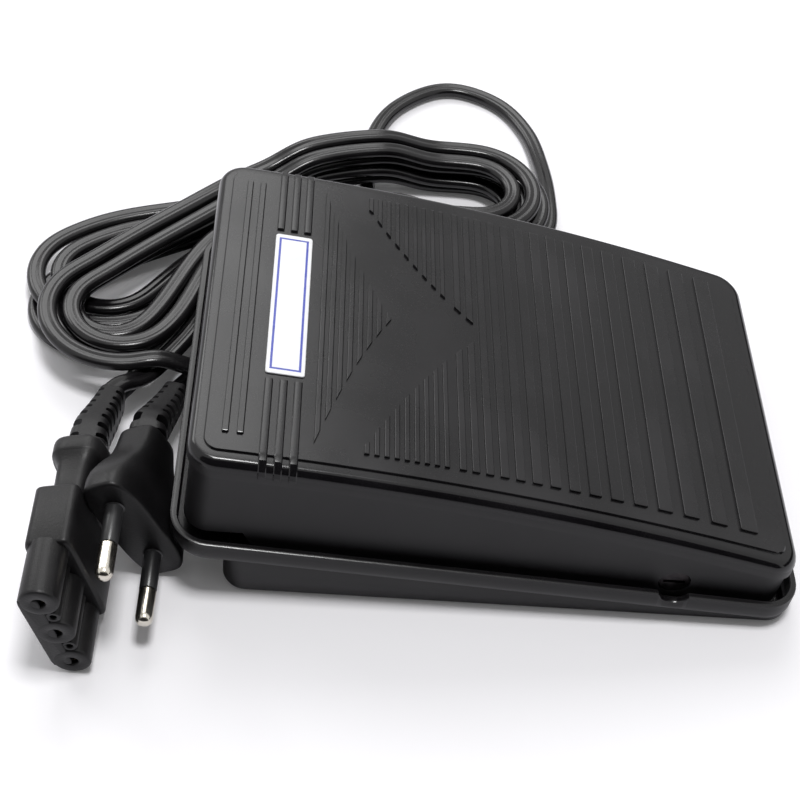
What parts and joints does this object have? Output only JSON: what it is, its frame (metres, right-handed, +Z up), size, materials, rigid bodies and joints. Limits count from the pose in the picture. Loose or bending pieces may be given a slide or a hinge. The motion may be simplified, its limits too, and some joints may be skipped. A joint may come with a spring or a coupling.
{
  "type": "sewing machine pedal",
  "caption": "Foot pedal with a ribbed wedge tread hinged on a tray, a flat hanked lead, a three-way machine connector and a two-pin mains plug.",
  "frame": {"origin": "on the floor under the middle of the pedal's outline, leads and plugs left out", "axes": "+X towards the heel, +Y across the pedal, away from the plug, +Z up"},
  "size_m": [0.1969, 0.223, 0.0468],
  "materials": {
    "pedal_plastic": "satin black moulded plastic, shiny on the skirt and rounded edge",
    "rubber": "matt black",
    "label": "glossy white sticker with a thin blue line near each long edge",
    "steel": "zinc plated",
    "board": "phenolic board",
    "aluminium": "plain extruded",
    "dark_plastic": "moulded",
    "amber_plastic": "moulded box",
    "copper": "enamelled copper winding",
    "green_plastic": "moulded",
    "white_plastic": "moulded nylon",
    "moulded_plug": "satin black moulded plastic",
    "brass": "plain",
    "nickel": "bright nickel plate",
    "lead_sheath": "smooth black flat flexible lead, semi-gloss"
  },
  "bodies": {
    "tray": {"base_tray": "pedal_plastic", "board_screw_1": "steel", "board_screw_2": "steel", "board_screw_3": "steel", "board_screw_4": "steel", "capacitor": "amber_plastic", "choke": "copper", "circuit_board": "board", "clamp_screw_1": "steel", "clamp_screw_2": "steel", "connector_contact_1": "brass", "connector_contact_2": "brass", "connector_contact_3": "brass", "connector_relief": "rubber", "heat_sink": "aluminium", "lead_clamp": "dark_plastic", "lead_gland": "rubber", "machine_connector": "moulded_plug", "mains_lead_far": "lead_sheath", "mains_lead_hank": "lead_sheath", "mains_lead_link": "lead_sheath", "mains_plug": "moulded_plug", "pedal_lead_exit": "lead_sheath", "pedal_lead_hank": "lead_sheath", "pedal_lead_link": "lead_sheath", "pin_sleeve_1": "moulded_plug", "pin_sleeve_2": "moulded_plug", "pivot_screw_far": "steel", "pivot_screw_near": "steel", "plug_pin_1": "nickel", "plug_pin_2": "nickel", "plug_relief": "rubber", "power_transistor": "dark_plastic", "return_spring_far": "steel", "return_spring_near": "steel", "rubber_foot_1": "rubber", "rubber_foot_2": "rubber", "rubber_foot_3": "rubber", "rubber_foot_4": "rubber", "speed_control": "dark_plastic", "terminal_block": "green_plastic"},
    "cover": {"tread_cover": "pedal_plastic", "label": "label"},
    "control": {"control_stem": "white_plastic"}
  },
  "joints": [
    {"name": "tread_hinge", "type": "hinge", "parent": "tray", "child": "cover", "pos_m": [0.043, 0, 0.012], "axis": [0, -1, 0], "range_deg": [0, 2], "stiffness_Nm_per_rad": 8, "springref_deg": -2.86, "deforming": ["return_spring_near", "return_spring_far"]},
    {"name": "control_slide", "type": "slide", "parent": "tray", "child": "control", "axis": [0, 0, -1], "range_m": [0, 0.00325]}
  ],
  "couplings": [
    {"joint": "control_slide", "follows": "tread_hinge", "m_per_rad": 0.093}
  ]
}
